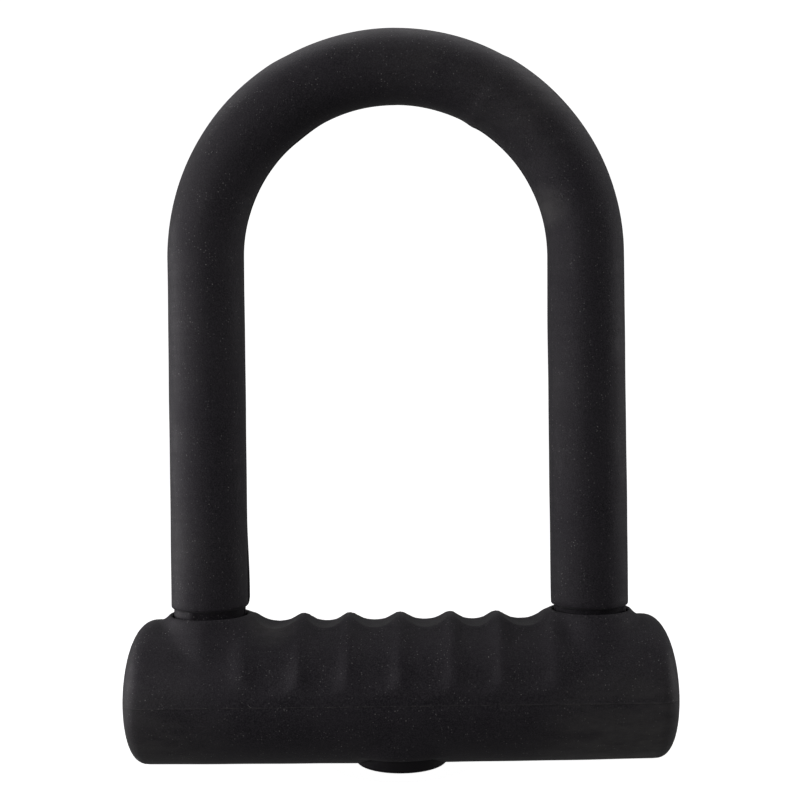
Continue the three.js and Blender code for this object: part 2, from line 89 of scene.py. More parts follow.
COLLAR_TOP_Z = 21.4
COLLAR_BORE = 10.15
COLLAR_RIM = 11.0
CREST_PLACES = (0, 13.9, 26.5, 40.6)          # finger grooves lie between these, on both sides
CREST_TOP_Z = 20.8
GROOVE_FLOOR_Z = 17.9
TOP_HOLLOW = 1.9                              # depth of the grooves' hollow, 30 degrees from the top
FRONT_HOLLOW = 0.95                           # the same, 62 degrees from the top
DENT_X = (-48.5, 45.5)                        # a small dent in front of each collar
DENT_Y = -11.2
DENT_DEPTH = 1.4
SKIRT_Z = -16.1                               # the cover reaches down to here round the key boss
SEAM_REACH = 0.16                             # of the moulding flash and of its painted highlight, above and below its line
BRIDGE_ANGLE = math.radians(30)               # the sleeve is uncut this far either side of the crown
BRIDGE_THINNING = (0.24, 0.08)                # the sleeve is thinner there, outside and inside
SLIT_END_LUMPS = ((-0.66, 0.22, 0.1), (0.53, 0.3, 0.05))     # place, height and width


# ---------------------------------------------------------------- small helpers

def smooth(low, high, value):
    """Goes smoothly from 0 at low to 1 at high. low may be the larger."""
    t = min(1, max(0, (value - low) / (high - low)))
    return t * t * (3 - 2 * t)


def lerp(a, b, t):
    return a + (b - a) * t


def smooth_min(a, b, width):
    t = max(0, 1 - abs(a - b) / width)
    return min(a, b) - t * t * width / 4


def ripple(x, y, seed):
    """A slow unevenness from -1 to 1, as hand-trimmed rubber has."""
    return (math.sin(0.31 * x + 1.7 * seed) + math.sin(0.23 * y + 2.9 * seed + 0.11 * x)
            + math.sin(0.13 * x - 0.19 * y + 4.1 * seed)) / 3


def build(name, points, faces, material, sharp=None):
    """Makes a closed mesh object from points in millimetres round the crossbar's axis. Edges
    sharper than the angle sharp, in degrees, keep a hard shading."""
    mesh = bpy.data.meshes.new(name)
    lifted = [(x * MM, y * MM, (z + AXIS_Z) * MM) for x, y, z in points]
    mesh.from_pydata(lifted, [], faces)
    welded = bmesh.new()
    welded.from_mesh(mesh)
    bmesh.ops.remove_doubles(welded, verts=welded.verts, dist=1e-7)
    bmesh.ops.recalc_face_normals(welded, faces=welded.faces)
    welded.to_mesh(mesh)
    welded.free()
    mesh.shade_smooth()
    if sharp is not None:
        mesh.set_sharp_from_angle(angle=math.radians(sharp))
    mesh.materials.append(material)
    piece = bpy.data.objects.new(name, mesh)
    bpy.context.scene.collection.objects.link(piece)
    return piece


def ring_faces(rows, columns, close_rows=False):
    """Quads between rows of points that each close on themselves."""
    faces = []
    last = rows if close_rows else rows - 1
    for i in range(last):
        a, b = i * columns, ((i + 1) % rows) * columns
        for j in range(columns):
            k = (j + 1) % columns
            faces.append((a + j, a + k, b + k, b + j))
    return faces


def turned(name, profile, sides, x, material, sharp=35):
    """Turns a closed profile of (radius, height) about an upright axis."""
    points = []
    for radius, height in profile:
        for j in range(sides):
            angle = 2 * math.pi * j / sides
            points.append((x + radius * math.cos(angle), radius * math.sin(angle), height))
    faces = ring_faces(len(profile), sides, close_rows=True)
    return build(name, points, faces, material, sharp)


def rounded(corners, radius, steps=5):
    """Rounds each corner of a closed outline of (a, b) points."""
    outline = []
    count = len(corners)
    for i in range(count):
        corner = Vector(corners[i])
        before = (Vector(corners[i - 1]) - corner).normalized()
        after = (Vector(corners[(i + 1) % count]) - corner).normalized()
        half = before.angle(after) / 2
        reach = radius / math.tan(half)
        start, end = corner + before * reach, corner + after * reach
        centre = corner + (before + after).normalized() * radius / math.sin(half)
        for s in range(steps + 1):
            arm = start.lerp(end, s / steps) - centre
            outline.append(tuple(centre + arm.normalized() * radius))
    return outline


def settle(piece):
    """Works a piece's modifiers into its mesh."""
    settled = bpy.context.evaluated_depsgraph_get()
    mesh = bpy.data.meshes.new_from_object(piece.evaluated_get(settled))
    piece.modifiers.clear()
    piece.data = mesh


def combine(operation, piece, *tools):
    """Cuts closed tool objects out of a piece or joins them to it, and removes them."""
    for tool in tools:
        step = piece.modifiers.new("combine", "BOOLEAN")
        step.operation = operation
        step.solver = "EXACT"
        step.object = tool
    settle(piece)
    for tool in tools:
        bpy.data.objects.remove(tool)


def carve(piece, *tools):
    combine("DIFFERENCE", piece, *tools)


def soften(piece, width, angle=30, segments=3):
    """Rounds a piece's hard edges, in millimetres, and smooths its shading."""
    step = piece.modifiers.new("edges", "BEVEL")
    step.width = width * MM
    step.segments = segments
    step.limit_method = "ANGLE"
    step.angle_limit = math.radians(angle)
    step.harden_normals = False
    settle(piece)
    piece.data.shade_smooth()
    piece.data.set_sharp_from_angle(angle=math.radians(35))


def bar_box(name, x, y, z, material):
    """A plain box from three (low, high) spans, as a tool or a blank."""
    points = [(x[i], y[j], z[k]) for i in (0, 1) for j in (0, 1) for k in (0, 1)]
    faces = [(0, 1, 3, 2), (4, 6, 7, 5), (0, 4, 5, 1), (2, 3, 7, 6), (0, 2, 6, 4), (1, 5, 7, 3)]
    return build(name, points, faces, material)


# ---------------------------------------------------------------- materials

class Nodes:
    """A short way to write a material's node tree."""

    def __init__(self, name):
        self.material = bpy.data.materials.new(name)
        self.material.use_nodes = True
        self.tree = self.material.node_tree
        self.shader = self.tree.nodes["Principled BSDF"]
        self.place = self.add("ShaderNodeTexCoord").outputs["Object"]

    def add(self, kind, **settings):
        node = self.tree.nodes.new(kind)
        for key, value in settings.items():
            setattr(node, key, value)
        return node

    def link(self, source, socket):
        self.tree.links.new(source, socket)

    def put(self, node, **values):
        for key, value in values.items():
            socket = node.inputs[key.replace("_", " ")]
            if isinstance(value, bpy.types.NodeSocket):
                self.link(value, socket)
            else:
                socket.default_value = value

    def stretched(self, x, y, z, turn=(0, 0, 0)):
        node = self.add("ShaderNodeMapping")
        node.inputs["Rotation"].default_value = turn
        node.inputs["Scale"].default_value = (x, y, z)
        self.link(self.place, node.inputs["Vector"])
        return node.outputs["Vector"]

    def noise(self, scale, detail=3, roughness=0.5, vector=None, distortion=0):
        node = self.add("ShaderNodeTexNoise")
        self.put(node, Scale=scale, Detail=detail, Roughness=roughness, Distortion=distortion)
        self.link(vector or self.place, node.inputs["Vector"])
        return node.outputs["Fac"]

    def cells(self, scale, vector=None, feature="F1"):
        node = self.add("ShaderNodeTexVoronoi", feature=feature)
        self.put(node, Scale=scale)
        self.link(vector or self.place, node.inputs["Vector"])
        return node

    def span(self, value, low, high, new_low=0.0, new_high=1.0):
        node = self.add("ShaderNodeMapRange")
        node.inputs["Value"].default_value = 0
        self.link(value, node.inputs["Value"])
        node.inputs["From Min"].default_value = low
        node.inputs["From Max"].default_value = high
        node.inputs["To Min"].default_value = new_low
        node.inputs["To Max"].default_value = new_high
        return node.outputs["Result"]

    def maths(self, operation, a, b):
        node = self.add("ShaderNodeMath", operation=operation)
        for socket, value in zip(node.inputs, (a, b)):
            if isinstance(value, bpy.types.NodeSocket):
                self.link(value, socket)
            else:
                socket.default_value = value
        return node.outputs[0]

    def mix(self, factor, a, b):
        node = self.add("ShaderNodeMix", data_type="RGBA")
        for socket, value in ((node.inputs[0], factor), (node.inputs[6], a), (node.inputs[7], b)):
            if isinstance(value, bpy.types.NodeSocket):
                self.link(value, socket)
            elif isinstance(value, tuple):
                socket.default_value = (*value, 1)
            else:
                socket.default_value = value
        return node.outputs[2]

    def nearness(self, place, reach):
        """1 at a place on the lock, in millimetres, falling to 0 at the reach."""
        node = self.add("ShaderNodeVectorMath", operation="DISTANCE")
        self.link(self.place, node.inputs[0])
        node.inputs[1].default_value = [c * MM for c in place]
        return self.span(node.outputs["Value"], reach * MM, 0)

    def level_line(self, height, half_width):
        """1 on a level line round the lock, at a height in millimetres, and 0 away from it."""
        node = self.add("ShaderNodeSeparateXYZ")
        self.link(self.place, node.inputs[0])
        above = self.maths("SUBTRACT", node.outputs["Z"], height * MM)
        return self.span(self.maths("ABSOLUTE", above, 0), half_width * MM, 0)

    def first_channel(self, colour):
        node = self.add("ShaderNodeSeparateColor")
        self.link(colour, node.inputs["Color"])
        return node.outputs["Red"]

    def bump(self, height, strength, distance_mm, before=None):
        node = self.add("ShaderNodeBump")
        self.put(node, Strength=strength, Distance=distance_mm * MM, Height=height)
        if before is not None:
            self.link(before, node.inputs["Normal"])
        return node.outputs["Normal"]

    def finish(self, **sockets):
        self.put(self.shader, **sockets)
        return self.material


def dust(n, scale, size, share):
    """Sparse round specks: a share of the cells holds one each. Scale is cells to the metre."""
    node = n.cells(scale)
    near = n.span(node.outputs["Distance"], size, size * 0.5)
    picked = n.maths("GREATER_THAN", n.first_channel(node.outputs["Color"]), 1 - share)
    return n.maths("MULTIPLY", near, picked)


# Where handling has left a dull bloom on the silicone: the middle, from the ground up, and the
# reach, both in millimetres, and the strength.
RUBBED_PLACES = (
    ((60, -14, 3), 30, 1),
    ((-64, -13, 8), 24, 0.5),
    ((-34, -6, 38), 8, 0.8),
    ((-58, -10, 60), 14, 0.2),
    ((36, -8, 179), 24, 0.3),
    ((42, -4, 151), 8, 0.7),
    ((8, -8, 194), 26, 0.2),
)


def silicone():
    """Matt black silicone: mottled bloom, fine grain, lint and dust, faint rubbed streaks and a painted
    seam highlight.
    """
    n = Nodes("black_silicone")
    mottle = n.span(n.noise(95, 4, 0.62), 0.35, 0.7)
    cloud = n.span(n.noise(26, 4, 0.6, distortion=0.5), 0.45, 0.75)
    grain = n.noise(3000, 2, 0.6)
    tone = n.mix(mottle, (0.0085, 0.0075, 0.0115), (0.0205, 0.018, 0.024))
    grainy = n.mix(n.span(grain, 0.38, 0.66), tone, (0.05, 0.045, 0.053))
    bloom_and_seam_highlight = n.mix(n.maths("MULTIPLY", cloud, 0.3), grainy, (0.05, 0.047, 0.05))
    wisps = n.span(n.noise(1, 4, 0.7, n.stretched(60, 60, 200, (0, 0.3, 0))), 0.28, 0.68)
    for place, reach, strength in RUBBED_PLACES:
        near = n.maths("MULTIPLY", n.nearness(place, reach), n.maths("MULTIPLY", wisps, strength))
        bloom_and_seam_highlight = n.mix(near, bloom_and_seam_highlight, (0.15, 0.145, 0.14))
    # A thin, broken, lighter line along the parting line: a painted highlight, standing in for light
    # catching the moulding flash's ridge.
    broken_seam_highlight = n.span(n.noise(1, 3, 0.7, n.stretched(260, 1, 1)), 0.4, 0.6)
    flash = n.maths("MULTIPLY", n.level_line(AXIS_Z, SEAM_REACH), broken_seam_highlight)
    bloom_and_seam_highlight = n.mix(n.maths("MULTIPLY", flash, 0.7), bloom_and_seam_highlight, (0.12, 0.115, 0.11))
    specks = dust(n, 640, 0.11, 0.3)
    fine = dust(n, 1300, 0.24, 0.5)
    lint_cells = n.cells(1, n.stretched(900, 180, 900, (0.4, 0.9, 0.3)))
    lint = n.maths("MULTIPLY", n.span(lint_cells.outputs["Distance"], 0.055, 0.03),
                   n.maths("GREATER_THAN", n.first_channel(lint_cells.outputs["Color"]), 0.85))
    uneven = n.span(n.noise(210, 2), 0.4, 0.62)
    dusty = n.mix(n.maths("MULTIPLY", fine, n.maths("MULTIPLY", uneven, 0.7)),
                  bloom_and_seam_highlight, (0.27, 0.26, 0.26))
    speckled = n.mix(n.maths("MULTIPLY", specks, n.maths("MULTIPLY", uneven, 0.8)),
                     dusty, (0.45, 0.43, 0.42))
    colour = n.mix(n.maths("MULTIPLY", lint, 0.6), speckled, (0.3, 0.29, 0.28))
    streak = n.noise(1, 3, 0.7, n.stretched(40, 40, 700, (0.9, 0.2, 0.5)))
    rough = n.maths("ADD", n.span(mottle, 0, 1, 0.53, 0.66), n.span(streak, 0.45, 0.7, -0.03, 0.05))
    rough = n.maths("ADD", rough, n.span(grain, 0.35, 0.68, -0.05, 0.05))
    normal = n.bump(grain, 0.8, 0.1)
    normal = n.bump(n.noise(420, 3, 0.6), 0.25, 0.12, normal)
    normal = n.bump(n.maths("ADD", specks, lint), 0.4, 0.06, normal)
    return n.finish(Base_Color=colour, Roughness=rough, Normal=normal, IOR=1.41,
                    Specular_Tint=(0.99, 0.93, 1, 1), Sheen_Weight=0.12, Sheen_Roughness=0.45)


def boss_plastic():
    """Black satin plastic, smoother and darker than the silicone, with light rub marks."""
    n = Nodes("boss_plastic")
    grain = n.noise(2600, 2, 0.5)
    rub = n.noise(1, 3, 0.7, n.stretched(900, 60, 300, (0, 0, 0.7)))
    colour = n.mix(n.span(rub, 0.6, 0.8, 0, 0.5), (0.0095, 0.0085, 0.0105), (0.019, 0.0175, 0.02))
    rough = n.span(rub, 0.3, 0.75, 0.34, 0.5)
    normal = n.bump(grain, 0.2, 0.03)
    return n.finish(Base_Color=colour, Roughness=rough, Normal=normal, IOR=1.42,
                    Specular_Tint=(0.99, 0.93, 1, 1))


def metal(name, colour, stain, roughness, brushed=(30, 900, 900), grain=0.02):
    """Worked metal: streaks along one direction, darker stains, and fine pits."""
    n = Nodes(name)
    streaks = n.noise(1, 4, 0.75, n.stretched(*brushed))
    stains = n.span(n.noise(120, 4, 0.6), 0.45, 0.72)
    tone = n.mix(n.maths("MULTIPLY", stains, 0.6), colour, stain)
    streaky = n.mix(n.span(streaks, 0.35, 0.7, 0, 0.3), tone, tuple(0.6 * c for c in colour))
    rough = n.maths("ADD", n.span(streaks, 0.3, 0.7, roughness - 0.07, roughness + 0.08),
                    n.span(stains, 0, 1, 0, 0.08))
    normal = n.bump(streaks, 0.3, grain)
    normal = n.bump(n.noise(1800, 2, 0.5), 0.15, grain, normal)
    return n.finish(Base_Color=streaky, Roughness=rough, Normal=normal, Metallic=1)


def coated_steel():
    """Black electrocoat over steel, thin enough to show the tube's grain."""
    n = Nodes("black_steel")
    peel = n.noise(900, 3, 0.55)
    wear = n.span(n.noise(260, 5, 0.7), 0.62, 0.72)
    colour = n.mix(n.maths("MULTIPLY", wear, 0.5), (0.016, 0.016, 0.018), (0.09, 0.085, 0.08))
    normal = n.bump(peel, 0.25, 0.03)
    return n.finish(Base_Color=colour, Roughness=n.span(peel, 0.3, 0.7, 0.38, 0.5), Normal=normal)


def nylon():
    """Glass-filled nylon: dull black with pale fibre flecks."""
    n = Nodes("black_nylon")
    flecks = n.span(n.noise(1, 3, 0.8, n.stretched(400, 2600, 1800, (0.5, 0.3, 0.9))), 0.6, 0.75)
    colour = n.mix(n.maths("MULTIPLY", flecks, 0.35), (0.018, 0.018, 0.02), (0.09, 0.09, 0.09))
    normal = n.bump(n.noise(1500, 3, 0.6), 0.3, 0.04)
    return n.finish(Base_Color=colour, Roughness=n.span(flecks, 0, 1, 0.5, 0.66), Normal=normal, IOR=1.53)


def seal_rubber():
    """Plain black sealing rubber with a dusting of talc."""
    n = Nodes("seal_rubber")
    talc = n.span(n.noise(300, 5, 0.7), 0.5, 0.75)
    colour = n.mix(n.maths("MULTIPLY", talc, 0.3), (0.011, 0.011, 0.012), (0.06, 0.06, 0.058))
    normal = n.bump(n.noise(1400, 2, 0.5), 0.3, 0.04)
    return n.finish(Base_Color=colour, Roughness=n.span(talc, 0, 1, 0.72, 0.86), Normal=normal)


finishes = {
    "black_silicone": silicone(),
    "boss_plastic": boss_plastic(),
    "hardened_steel": metal("hardened_steel", (0.4, 0.41, 0.43), (0.2, 0.19, 0.18), 0.36,
                            (900, 900, 40)),
    "bright_steel": metal("bright_steel", (0.56, 0.57, 0.59), (0.36, 0.34, 0.31), 0.3),
    "zinc_casting": metal("zinc_casting", (0.4, 0.41, 0.42), (0.27, 0.27, 0.27), 0.55,
                          (500, 500, 500), 0.06),
    "brass": metal("brass", (0.66, 0.47, 0.2), (0.36, 0.23, 0.1), 0.33, (700, 700, 60)),
    "black_steel": coated_steel(),
    "black_nylon": nylon(),
    "seal_rubber": seal_rubber(),
}


# ---------------------------------------------------------------- shackle

def sections(points_on_bend, leg_rows):
    """Stations along the shackle's centre line from the left leg's end to the right's, each as
    (centre x, height, the loop's inward direction x and z, angle from the crown, height of leg)."""
    rows = []
    leg_zs = [lerp(SLEEVE_END_Z, BEND_Z, i / leg_rows) for i in range(leg_rows)]
    for z in leg_zs:
        rows.append((-LEG_X, z, 1, 0, -math.pi / 2, z))
    for i in range(points_on_bend + 1):
        angle = math.pi * (i / points_on_bend - 0.5)
        side, up = math.sin(angle), math.cos(angle)
        rows.append((LEG_X * side, BEND_Z + LEG_X * up, -side, -up, angle, BEND_Z))
    for z in reversed(leg_zs):
        rows.append((LEG_X, z, -1, 0, math.pi / 2, z))
    return rows


def around_with_slit():
    """Angles round the sleeve's section, close together where its slit is, at 0."""
    near = [math.radians(a / 2) for a in range(-16, 17)]
    count = 92
    rest = [near[-1] + (2 * math.pi - 2 * near[-1]) * i / count for i in range(1, count)]
    return near + rest


def slit_depth(across, along_slit):
    """Depth of the slit at a distance across it. along_slit is 0 at its closed end."""
    half_width = 0.32 * smooth(0, 6, along_slit)
    if half_width < 0.02:
        return 0
    return 2.6 * math.exp(-(across / half_width) ** 4)


def sleeve_radius(station, angle):
    """The sleeve's outer surface: an uncut bridge at the crown, a slit from there down the inside
    of each leg, and lips that stand up where the slit gapes."""
    x, _, _, _, bend, leg_z = station
    turned_to = math.atan2(math.sin(angle), math.cos(angle))
    across = turned_to * SLEEVE_RADIUS
    inner_side = max(0, math.cos(angle)) ** 2
    from_bridge = (abs(bend) - BRIDGE_ANGLE) * LEG_X + (BEND_Z - leg_z)
    sharpness = 2.5 if bend < 0 else 0.9
    bridge = smooth(sharpness, -sharpness, from_bridge)
    thin_outside, thin_inside = BRIDGE_THINNING
    radius = SLEEVE_RADIUS - thin_outside * bridge * (1 - inner_side) - thin_inside * bridge * inner_side
    for place, height, width in SLIT_END_LUMPS:
        radius += height * inner_side * math.exp(-((bend - place) / width) ** 2)
    radius += 0.04 * ripple(abs(bend) * LEG_X + leg_z, 9 * turned_to, 1 + (x > 0))
    above_end = leg_z - SLEEVE_END_Z
    if leg_z < BEND_Z:
        gape = smooth(24, 5, above_end) * smooth(-1, 3, above_end) * (0.5 if x < 0 else 0.18)
        lip_place, lip_width = (-1.3, 1.5) if x < 0 else (1.2, 1.6)
        radius += gape * math.exp(-((across - lip_place) / lip_width) ** 2)
        if x > 0:
            radius += 0.22 * math.exp(-(across / 3.2) ** 2) * smooth(0, 20, BEND_Z - leg_z)
    if from_bridge > 0:
        radius -= slit_depth(across, from_bridge)
    return radius


def sleeve_end(station, angles):
    """Rows of points from the sleeve's outer edge round its end face, down the spigot and into
    its bore. Each row is (radius, height) for each angle."""
    x = station[0]
    edge = 0.6
    end = SLEEVE_END_Z + (0.35 if x < 0 else -0.05)
    rows = []
    for i in range(1, 6):
        turn = i / 5 * math.pi / 2
        drop = edge * (1 - math.cos(turn))
        height = end + edge * (1 - math.sin(turn))
        rows.append([(sleeve_radius(station, a) - drop, height + torn_edge(x, a)) for a in angles])
    spigot = [(0.3, end + 0.02), (0.03, end - 0.15), (0, end - 0.4), (0, lerp(end, SPIGOT_END_Z, 0.4))]
    spigot += [(0, SPIGOT_END_Z + 0.7), (-0.15, SPIGOT_END_Z + 0.15), (-0.5, SPIGOT_END_Z)]
    for stand, z in spigot:
        rows.append([(max(SLEEVE_BORE, spigot_radius(x, a, z) + stand - end_slit(a)), z) for a in angles])
    for radius, z in ((0.4, 0), (0.1, 0.1), (0, 0.4)):
        rows.append([(SLEEVE_BORE + radius, SPIGOT_END_Z + z)] * len(angles))
    return rows


def torn_edge(x, angle):
    """A ragged bit of moulding flash on the right leg's edge, at the front and outside."""
    if x < 0:
        return 0
    place = math.exp(-((angle - 2.15) / 0.32) ** 2)
    return -0.28 * place * (0.6 + 0.4 * math.sin(23 * angle) * math.cos(41 * angle))


def end_slit(angle):
    return slit_depth(math.atan2(math.sin(angle), math.cos(angle)) * SLEEVE_RADIUS, 50)


def spigot_radius(x, angle, z):
    """The spigot is undercut at the front, all across on the right leg and inboard on the left."""
    facing = math.atan2(math.sin(angle), math.cos(angle))
    outboard_limit = 1.75 if x < 0 else 2.6
    undercut = smooth(-0.2, 0.35, facing) * smooth(outboard_limit + 0.25, outboard_limit, facing)
    return SPIGOT_RADIUS - 1.0 * undercut * smooth(SLEEVE_END_Z + 0.2, SLEEVE_END_Z - 0.9, z)


def on_section(station, angle, radius, z=None):
    x, height, inward_x, inward_z, _, _ = station
    reach = radius * math.cos(angle)
    centre_z = height if z is None else z
    return (x + inward_x * reach, -radius * math.sin(angle), centre_z + inward_z * reach)


def shackle_sleeve():
    angles = around_with_slit()
    outer = sections(150, 70)
    while outer[0][1] < SLEEVE_END_Z + 1.2:
        outer.pop(0)
    while outer[-1][1] < SLEEVE_END_Z + 1.2:
        outer.pop()
    points = []

    def add_end(station, rows):
        for row in rows:
            points.extend(on_section(station, a, radius, z) for a, (radius, z) in zip(angles, row))

    left = (-LEG_X, SLEEVE_END_Z, 1, 0, -math.pi / 2, SLEEVE_END_Z)
    right = (LEG_X, SLEEVE_END_Z, -1, 0, math.pi / 2, SLEEVE_END_Z)
    add_end(left, reversed(sleeve_end(left, angles)))
    for station in outer:
        points.extend(on_section(station, a, sleeve_radius(station, a)) for a in angles)
    add_end(right, sleeve_end(right, angles))
    for station in reversed(sections(48, 6)):
        points.extend(on_section(station, a, SLEEVE_BORE) for a in angles)
    faces = ring_faces(len(points) // len(angles), len(angles), close_rows=True)
    piece = build("silicone_sleeve", points, faces, finishes["black_silicone"], 50)
    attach(piece, "shackle_assembly")
    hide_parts("shackle_sleeve")
    return piece


def steel_shackle():
    """The U itself, with rounded tips and a notch for each bolt."""
    sides = 64
    angles = [2 * math.pi * j / sides for j in range(sides)]
    rounding = ((2, 0), (1.6, 0.1), (0.3, 1.5), (0.06, 2), (0, 2.6))
    tip = [(BAR_RADIUS - inset, LEG_TIP_Z + rise) for inset, rise in rounding]
    tip += [(BAR_RADIUS, 3), (BAR_RADIUS, 15)]
    points = []
    left = (-LEG_X, 0, 1, 0, 0, 0)
    right = (LEG_X, 0, -1, 0, 0, 0)
    for radius, z in tip:
        points.extend(on_section(left, a, radius, z) for a in angles)
    for station in sections(96, 10):
        points.extend(on_section(station, a, BAR_RADIUS) for a in angles)
    for radius, z in reversed(tip):
        points.extend(on_section(right, a, radius, z) for a in angles)
    rows = len(points) // sides
    faces = ring_faces(rows, sides)
    faces.append(tuple(reversed(range(sides))))
    faces.append(tuple(range((rows - 1) * sides, rows * sides)))
    piece = build("steel_shackle", points, faces, finishes["hardened_steel"])
    notch_floor = LEG_X - BAR_RADIUS + 4.2
    heights = (bolt_low.z - AXIS_Z - 0.5, bolt_high.z - AXIS_Z + 0.5)
    wide = (-BAR_RADIUS - 1, BAR_RADIUS + 1)
    near = LEG_X - BAR_RADIUS - 1
    tools = [bar_box("notch", span, wide, heights, finishes["hardened_steel"])
             for span in ((near, notch_floor), (-notch_floor, -near))]
    carve(piece, *tools)
    soften(piece, 0.3, 40)
    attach(piece, "shackle_assembly")
    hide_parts("shackle")
    return piece


# ---------------------------------------------------------------- crossbar cover

def hollow(x):
    """How deep in a finger groove x is: 0 on a ridge, 1 in the middle of a groove."""
    place = abs(x)
    for before, after in zip(CREST_PLACES, CREST_PLACES[1:]):
        if before <= place < after:
            from_ridge = 2 * min(place - before, after - place) / (after - before)
            blunt = 0.12
            t = (math.hypot(from_ridge, blunt) - blunt) / (math.hypot(1, blunt) - blunt)
            return 1 - (1 - t) ** 2.3
    return 0


def end_shape(turn):
    """Length and squareness of the ends' rounding. The top rounds off sooner than the bottom."""
    top = (1 + math.cos(turn)) / 2
    return lerp(6.8, 8.2, top), lerp(2.7, 2.45, top)


def end_scale(x, turn):
    """How far the cover's ends draw the section in."""
    depth, power = end_shape(turn)
    into = abs(x) - (COVER_END - depth)
    if into <= 0:
        return 1
    return max(0, 1 - min(1, into / depth) ** power) ** (1 / power)


def cover_radius(x, turn):
    """The cover's section at x. turn is 0 on top and grows towards the front."""
    up = math.cos(turn)
    radius = COVER_RADIUS
    if up > 0:
        grip = smooth(46, 41.5, abs(x))
        deep = hollow(x)
        radius += (CREST_TOP_Z - COVER_RADIUS) * grip * up
        away = abs(math.degrees(turn))
        floor_end = 72 + 11 * math.sqrt(deep)
        recess = smooth(6, 25, away) * smooth(floor_end, floor_end - 12, away)
        depth = lerp(TOP_HOLLOW, FRONT_HOLLOW, smooth(30, 62, away))
        radius -= depth * (1 - (1 - deep) ** 1.5) * recess * grip
        if deep > 0 and up > 0.4:
            level = CREST_TOP_Z + 0.1 - (CREST_TOP_Z + 0.1 - GROOVE_FLOOR_Z) * deep
            radius = smooth_min(radius, level / up, 0.35)
    else:
        radius -= 0.45 * (x / COVER_END) ** 2 * -up
    radius += 0.05 * ripple(x, 20 * turn, 3)
    below_seam = (abs(turn) - math.pi / 2) * COVER_RADIUS
    flash = 0.02 + 0.13 * smooth(22, 34, x) + 0.07 * smooth(-45, -60, x)
    radius += flash * math.exp(-(below_seam / SEAM_REACH) ** 2)
    radius -= 0.06 * math.exp(-((below_seam - 0.3) / 0.2) ** 2)
    return radius * end_scale(x, turn)


def collar_lift(x, y, z):
    """Raises the surface round each leg hole into a collar with a long slope towards the middle."""
    from_leg = Vector((abs(x) - LEG_X, y))
    distance = from_leg.length
    if distance > 24 or z < 0:
        return z
    inward = -from_leg.x / max(distance, 1e-6)
    foot = lerp(17.2, 14.5, inward) if inward > 0 else lerp(17.2, 13.6, min(1, -inward * 1.3))
    power = lerp(1.7, 1.8, max(0, inward))
    t = min(1, max(0, (distance - COLLAR_RIM) / (foot - COLLAR_RIM)))
    top = COLLAR_TOP_Z - (0.25 if x < 0 else 0)
    dent_x = DENT_X[0] if x < 0 else DENT_X[1]
    dent = DENT_DEPTH * math.exp(-((x - dent_x) / 3.3) ** 2 - ((y - DENT_Y) / 2.8) ** 2)
    return lerp(z, top, (1 - t) ** power) - dent * smooth(0, 1, t * 5)


def boss_skirt(x, y, z):
    """The cover comes down a little round the key boss, in front and behind."""
    distance = math.hypot(x, y)
    near = smooth(BOSS_RADIUS + 5.5, BOSS_RADIUS + 0.6, distance)
    return min(z, lerp(z, SKIRT_Z, near))


def cover_point(x, turn):
    radius = cover_radius(x, turn)
    y, z = -radius * math.sin(turn), radius * math.cos(turn)
    return x, y, collar_lift(x, y, z) if z > 0 else boss_skirt(x, y, z)


def cover_height(x, y, top):
    """Height of the cover's surface at a place seen from above, or from below if top is False."""
    turn = 0 if top else math.pi
    for _ in range(12):
        radius = max(1, cover_radius(x, turn))
        lean = math.asin(max(-1, min(1, -y / radius)))
        turn = lean if top else math.pi - lean
    z = cover_radius(x, turn) * math.cos(turn)
    return collar_lift(x, y, z) if top else boss_skirt(x, y, z)


def cover_columns():
    """Places along the cover. In the ends they are an angle into the rounding, so each is
    (sign of the end, that angle), and in between they are (0, x)."""
    steps = 16
    middle, spacing = 65, 1.05
    ends = [math.pi / 2 * (i / steps) for i in range(steps + 1)]
    columns = [(-1, a) for a in ends]
    columns += [(0, -middle + i * spacing) for i in range(int(2 * middle / spacing) + 1)]
    columns += [(1, a) for a in reversed(ends)]
    return columns


def column_x(column, turn):
    sign, value = column
    if sign == 0:
        return value
    depth, power = end_shape(turn)
    return sign * (COVER_END - depth * (1 - math.cos(value) ** (2 / power)))


def cover_turns():
    """Angles round the section, with a few close together at the two parting lines."""
    count = 112
    even = [2 * math.pi * j / count for j in range(count)]
    seam_steps = [math.radians(a) for a in (-1.3, -0.7, -0.3, 0.3, 0.7, 1.3)]
    extra = [seam + step for seam in (math.pi / 2, 1.5 * math.pi) for step in seam_steps]
    return sorted(even + extra)


def inner_point(column, turn):
    """The tube's space inside the cover, on the same columns and angles as the outside."""
    sign, value = column
    if sign == 0:
        x, radius = value, CAVITY_RADIUS
    else:
        shrink = min(1, math.sin(value) * 1.15)
        x, radius = sign * CAVITY_END, CAVITY_RADIUS * shrink
        if value > 1.35:
            x = sign * lerp(65.5, CAVITY_END, (math.pi / 2 - value) / (math.pi / 2 - 1.35))
            radius = CAVITY_RADIUS
    return x, -radius * math.sin(turn), radius * math.cos(turn)


